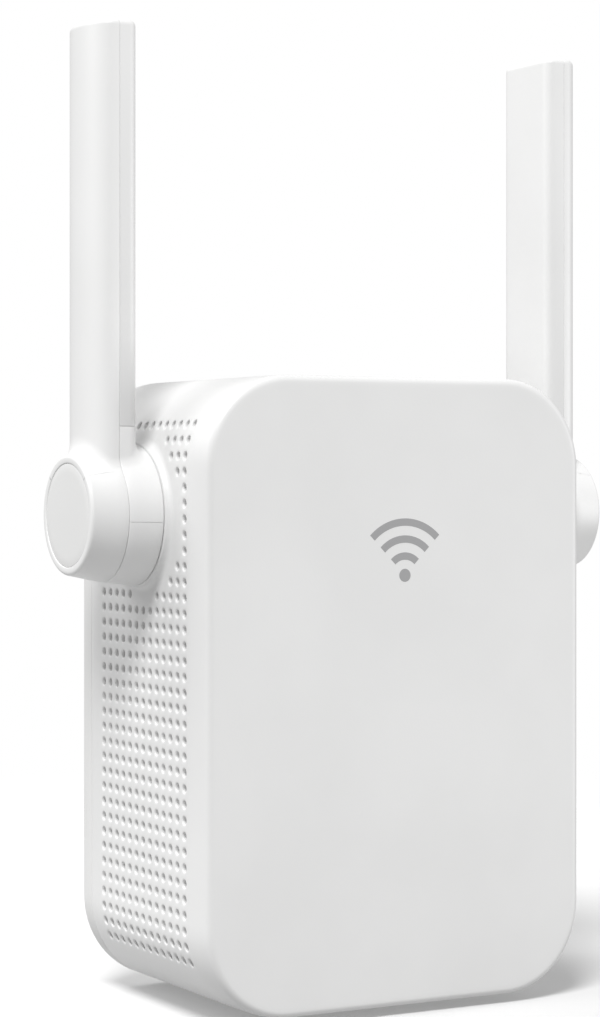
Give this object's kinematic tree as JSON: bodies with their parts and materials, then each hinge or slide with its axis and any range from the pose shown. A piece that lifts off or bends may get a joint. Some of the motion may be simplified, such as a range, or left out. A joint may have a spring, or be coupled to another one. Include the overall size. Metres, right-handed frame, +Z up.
{
  "type": "wifi range extender",
  "caption": "Plug-in wifi range extender: rounded white housing with perforated sides, folding flat antennas on barrel hinges, a mains plug on the rear and an ethernet port below.",
  "frame": {"origin": "middle of the rear face that meets the outlet, midway between the plug blades", "axes": "+X right seen from the front, +Y into the wall along the plug blades, +Z up"},
  "size_m": [0.078, 0.0538, 0.127],
  "materials": {
    "housing_white": "fine satin moulded ABS",
    "cover_white": "matt moulded ABS",
    "plug_base_white": "matt moulded plastic",
    "antenna_white": "satin moulded plastic",
    "cap_white": "satin moulded plastic",
    "button_white": "satin moulded plastic",
    "nickel_plate": "nickel-plated brass",
    "board_green": "solder mask on glass-epoxy board",
    "black_plastic": "satin",
    "steel": "plain",
    "aluminium": "satin",
    "ferrite": "sintered, dull",
    "winding_tape": "polyester tape",
    "capacitor_sleeve": "shrunk sleeve",
    "fuse_sleeve": "shrunk sleeve",
    "blue_resin": "dipped resin",
    "light_guide": "clear polycarbonate, frosted end faces",
    "led_resin": "clear resin over phosphor",
    "film": "polyester film",
    "cable_grey": "extruded jacket",
    "antenna_board": "copper track on a thin board"
  },
  "bodies": {
    "housing": {"front_shell": "housing_white", "rear_cover": "cover_white", "plug_insulator": "plug_base_white", "plug_blade_left": "nickel_plate", "plug_blade_right": "nickel_plate", "power_board": "board_green", "main_board": "board_green", "transformer_core": "ferrite", "transformer_winding": "winding_tape", "bulk_capacitor_inner": "capacitor_sleeve", "bulk_capacitor_outer": "capacitor_sleeve", "output_capacitor": "capacitor_sleeve", "choke": "ferrite", "bridge_rectifier": "black_plastic", "fuse": "fuse_sleeve", "safety_capacitor": "blue_resin", "processor": "black_plastic", "rf_shield": "steel", "heat_spreader": "aluminium", "ethernet_jack": "black_plastic", "insulating_sheet": "film", "board_header": "black_plastic", "light_pipe": "light_guide", "led_power": "led_resin", "led_signal": "led_resin", "led_low_band": "led_resin", "led_high_band": "led_resin", "wps_switch_body": "black_plastic", "reset_switch_body": "black_plastic", "cover_screw_left": "steel", "main_board_screw_left": "steel", "power_board_screw_left": "steel", "friction_washer_left": "steel", "coax_lead_left": "cable_grey", "coax_plug_left": "nickel_plate", "cover_screw_right": "steel", "main_board_screw_right": "steel", "power_board_screw_right": "steel", "friction_washer_right": "steel", "coax_lead_right": "cable_grey", "coax_plug_right": "nickel_plate"},
    "antenna_left": {"antenna_outer_shell_left": "antenna_white", "antenna_inner_shell_left": "antenna_white", "hinge_knuckle_left": "antenna_white", "hinge_cap_left": "cap_white", "retaining_clip_left": "steel", "antenna_element_left": "antenna_board", "antenna_coax_left": "cable_grey"},
    "antenna_right": {"antenna_outer_shell_right": "antenna_white", "antenna_inner_shell_right": "antenna_white", "hinge_knuckle_right": "antenna_white", "hinge_cap_right": "cap_white", "retaining_clip_right": "steel", "antenna_element_right": "antenna_board", "antenna_coax_right": "cable_grey"},
    "wps_button": {"wps_button": "button_white", "wps_switch_stem": "steel"},
    "reset_stem": {"reset_switch_stem": "black_plastic"}
  },
  "joints": [
    {"name": "antenna_left_hinge", "type": "hinge", "parent": "housing", "child": "antenna_left", "pos_m": [-0.0342, -0.0185, 0.0026], "axis": [1, 0, 0], "range_deg": [0, 180]},
    {"name": "antenna_right_hinge", "type": "hinge", "parent": "housing", "child": "antenna_right", "pos_m": [0.0342, -0.0185, 0.0026], "axis": [1, 0, 0], "range_deg": [0, 180]},
    {"name": "wps_button_slide", "type": "slide", "parent": "housing", "child": "wps_button", "axis": [-1, 0, 0], "range_m": [0, 0.0004], "stiffness_N_per_m": 1500, "springref_m": -0.0005},
    {"name": "reset_stem_slide", "type": "slide", "parent": "housing", "child": "reset_stem", "axis": [-1, 0, 0], "range_m": [0, 0.00025], "stiffness_N_per_m": 1500, "springref_m": -0.0005}
  ]
}
